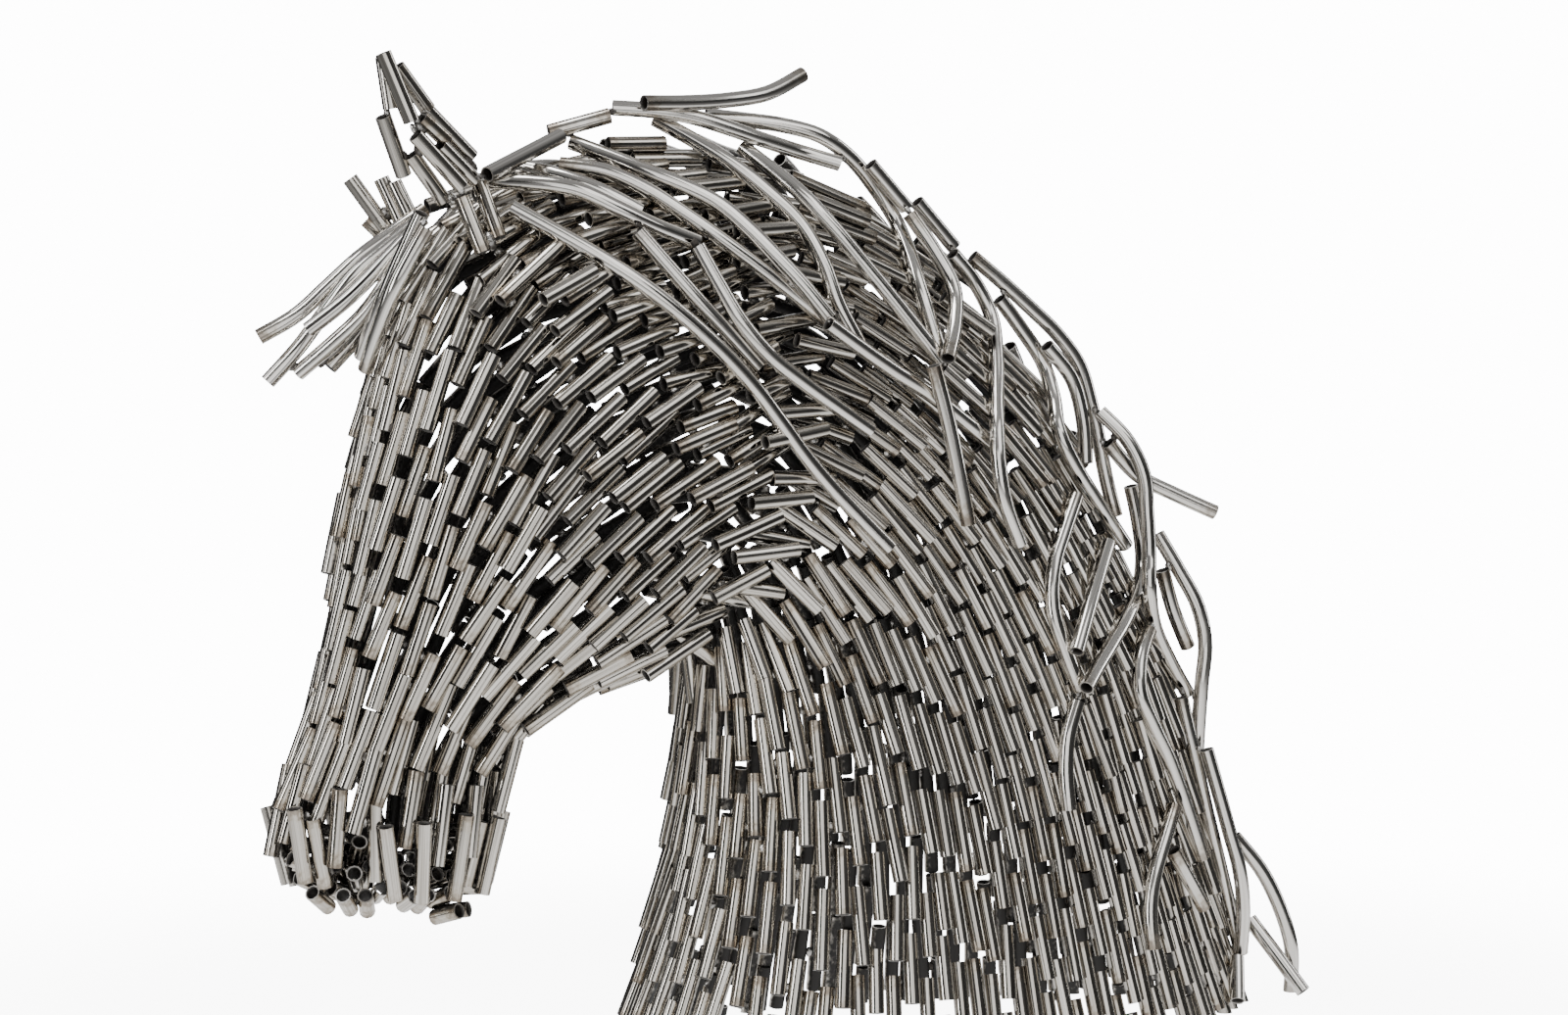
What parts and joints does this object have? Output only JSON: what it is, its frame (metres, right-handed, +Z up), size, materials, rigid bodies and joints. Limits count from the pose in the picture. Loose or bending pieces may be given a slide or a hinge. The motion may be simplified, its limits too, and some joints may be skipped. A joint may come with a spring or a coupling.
{
  "type": "metal horse head statue",
  "caption": "Openwork bust of a horse, head and arched neck of short steel tubes welded side by side, with ears, forelock and mane of bent tube, cut flat below.",
  "frame": {"origin": "centre of the overall box on the flat underside of the neck", "axes": "+Z up, -X the way the horse faces, -Y its left side, where the mane falls"},
  "size_m": [0.9076, 0.2784, 0.7929],
  "materials": {
    "short_tube_steel": "bright tube cut short, with grey-brown heat tint and soot at the welds",
    "long_tube_steel": "bright bent tube, lightly streaked along its length"
  },
  "bodies": {
    "root": {"head_and_neck": "short_tube_steel", "left_ear": "short_tube_steel", "right_ear": "short_tube_steel", "forelock_tube_01": "long_tube_steel", "forelock_tube_02": "long_tube_steel", "forelock_tube_03": "long_tube_steel", "forelock_tube_04": "long_tube_steel", "forelock_tube_05": "long_tube_steel", "forelock_tube_06": "long_tube_steel", "forelock_tube_07": "long_tube_steel", "mane_tube_01": "long_tube_steel", "mane_tube_02": "long_tube_steel", "mane_tube_03": "long_tube_steel", "mane_tube_04": "long_tube_steel", "mane_tube_05": "long_tube_steel", "mane_tube_06": "long_tube_steel", "mane_tube_07": "long_tube_steel", "mane_tube_08": "long_tube_steel", "mane_tube_09": "long_tube_steel", "mane_tube_10": "long_tube_steel", "mane_tube_11": "long_tube_steel", "mane_tube_12": "long_tube_steel", "mane_tube_13": "long_tube_steel", "mane_tube_14": "long_tube_steel", "mane_tube_15": "long_tube_steel", "mane_tube_16": "long_tube_steel", "mane_tube_17": "long_tube_steel", "mane_tube_18": "long_tube_steel", "mane_tube_19": "long_tube_steel", "mane_tube_20": "long_tube_steel", "mane_tube_21": "long_tube_steel", "mane_tube_22": "long_tube_steel", "mane_tube_23": "long_tube_steel", "mane_tube_24": "long_tube_steel", "mane_tube_25": "long_tube_steel", "mane_tube_26": "long_tube_steel", "mane_tube_27": "long_tube_steel", "mane_tube_28": "long_tube_steel", "mane_tube_29": "long_tube_steel", "mane_tube_30": "long_tube_steel", "mane_tube_31": "long_tube_steel", "mane_tube_32": "long_tube_steel", "mane_tube_33": "long_tube_steel", "mane_tube_34": "long_tube_steel", "mane_tube_35": "long_tube_steel", "mane_tube_36": "long_tube_steel", "mane_tube_37": "long_tube_steel", "mane_tube_38": "long_tube_steel", "mane_tube_39": "long_tube_steel", "mane_tube_40": "long_tube_steel", "mane_tube_41": "long_tube_steel", "mane_tube_42": "long_tube_steel", "mane_tube_43": "long_tube_steel", "mane_tube_44": "long_tube_steel", "mane_tube_45": "long_tube_steel", "mane_tube_46": "long_tube_steel", "mane_tube_47": "long_tube_steel", "mane_tube_48": "long_tube_steel", "mane_tube_49": "long_tube_steel", "mane_tube_50": "long_tube_steel"}
  },
  "joints": []
}
